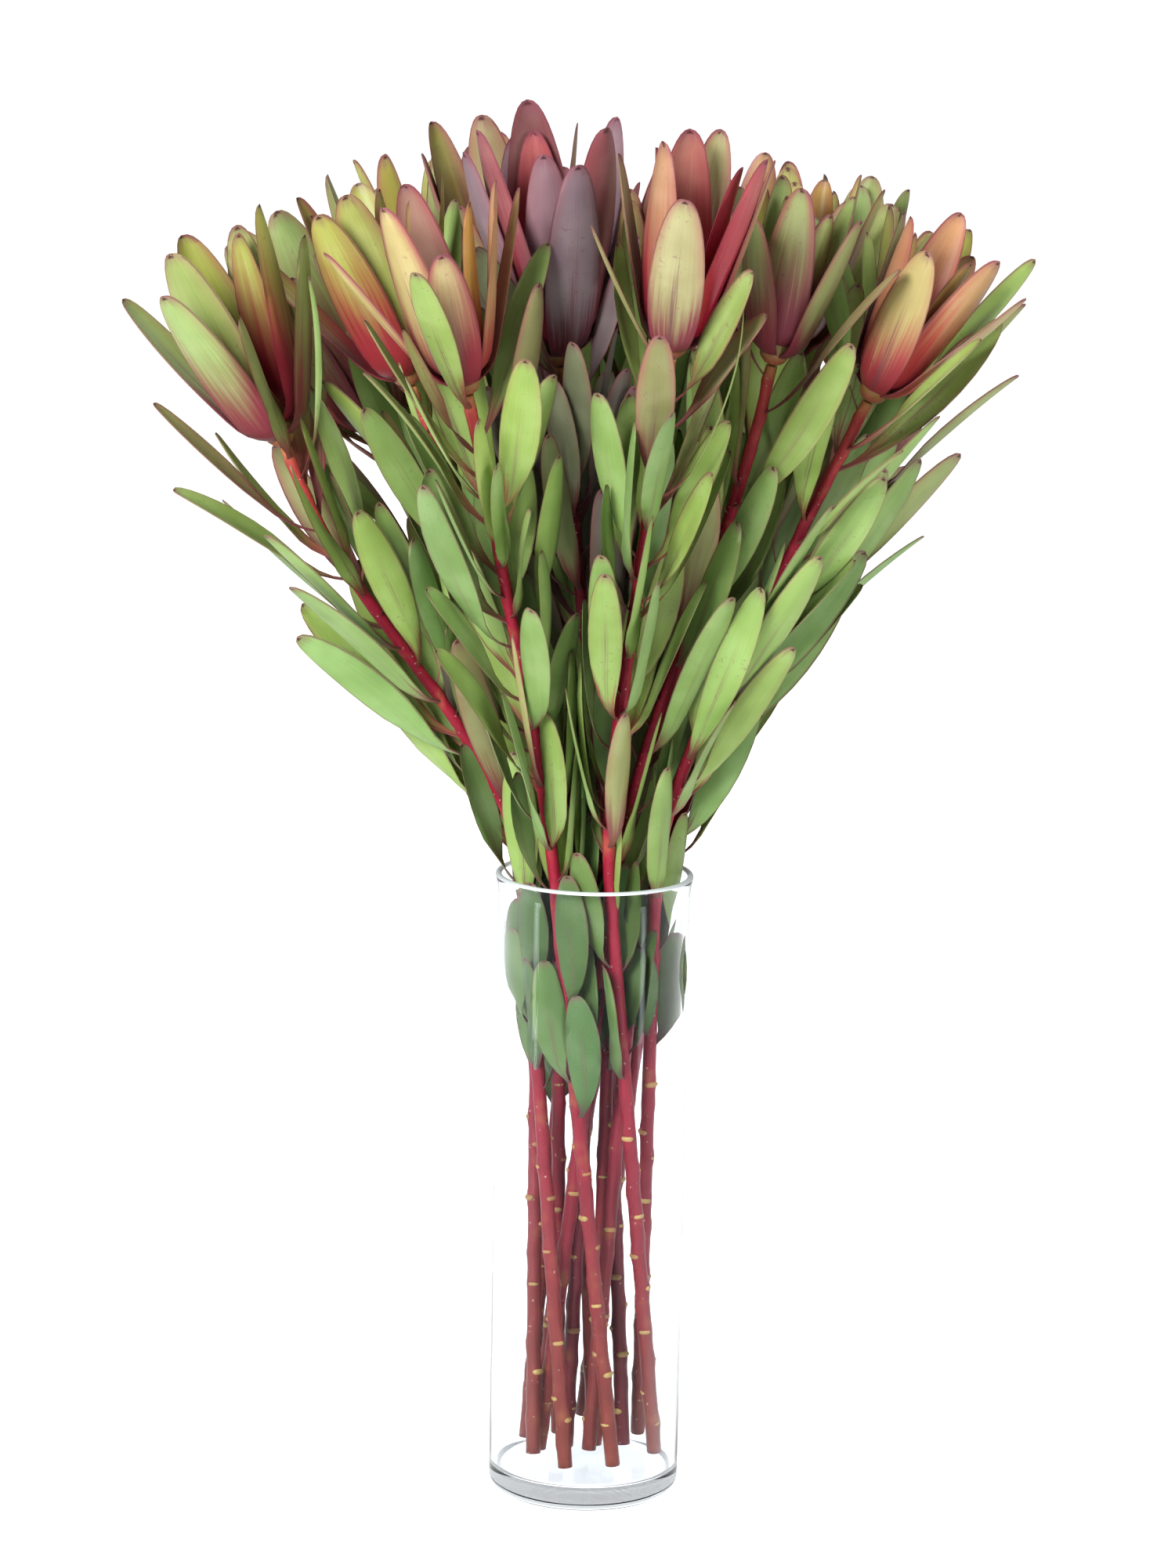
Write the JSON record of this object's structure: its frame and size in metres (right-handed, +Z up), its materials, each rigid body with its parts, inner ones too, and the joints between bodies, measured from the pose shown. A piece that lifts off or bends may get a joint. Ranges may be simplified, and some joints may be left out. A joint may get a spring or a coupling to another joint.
{
  "type": "leucadendron bouquet in glass vase",
  "caption": "Tall clear glass cylinder vase holding a fanned bunch of leafy red stems, each topped by a goblet of green, gold, red or purple bracts.",
  "frame": {"origin": "centre of the vase's flat underside", "axes": "+Z up the vase's axis, -Y towards the front of the bunch, +X to its right"},
  "size_m": [0.4166, 0.3655, 0.6622],
  "materials": {
    "glass": "clear polished glass, colourless with a faint green edge",
    "leaf_green": "leathery green leaf on a crimson woody stem, soft sheen, thin red margin",
    "leaf_purple": "leathery purple grey leaf with a pale bloom on a dark red stem",
    "bract_green": "smooth green bracts flushed crimson at the base, soft sheen",
    "bract_gold": "smooth yellow green to gold bracts flushed maroon, soft sheen",
    "bract_red": "smooth salmon to red bracts, glossier at the base",
    "bract_purple": "smooth dark purple bracts with a pale bloom, soft sheen"
  },
  "bodies": {
    "root": {"glass_vase": "glass", "leafy_stem_01": "leaf_green", "leafy_stem_02": "leaf_green", "leafy_stem_03": "leaf_green", "leafy_stem_04": "leaf_purple", "leafy_stem_05": "leaf_green", "leafy_stem_06": "leaf_green", "leafy_stem_07": "leaf_green", "leafy_stem_08": "leaf_green", "leafy_stem_09": "leaf_green", "leafy_stem_10": "leaf_green", "leafy_stem_11": "leaf_purple", "leafy_stem_12": "leaf_green", "leafy_stem_13": "leaf_green", "leafy_stem_14": "leaf_green", "leafy_stem_15": "leaf_green", "leafy_stem_16": "leaf_green", "flower_head_01": "bract_green", "flower_head_02": "bract_gold", "flower_head_03": "bract_gold", "flower_head_04": "bract_purple", "flower_head_05": "bract_red", "flower_head_06": "bract_green", "flower_head_07": "bract_red", "flower_head_08": "bract_gold", "flower_head_09": "bract_green", "flower_head_10": "bract_green", "flower_head_11": "bract_purple", "flower_head_12": "bract_gold", "flower_head_13": "bract_red", "flower_head_14": "bract_gold", "flower_head_15": "bract_green", "flower_head_16": "bract_green"}
  },
  "joints": []
}
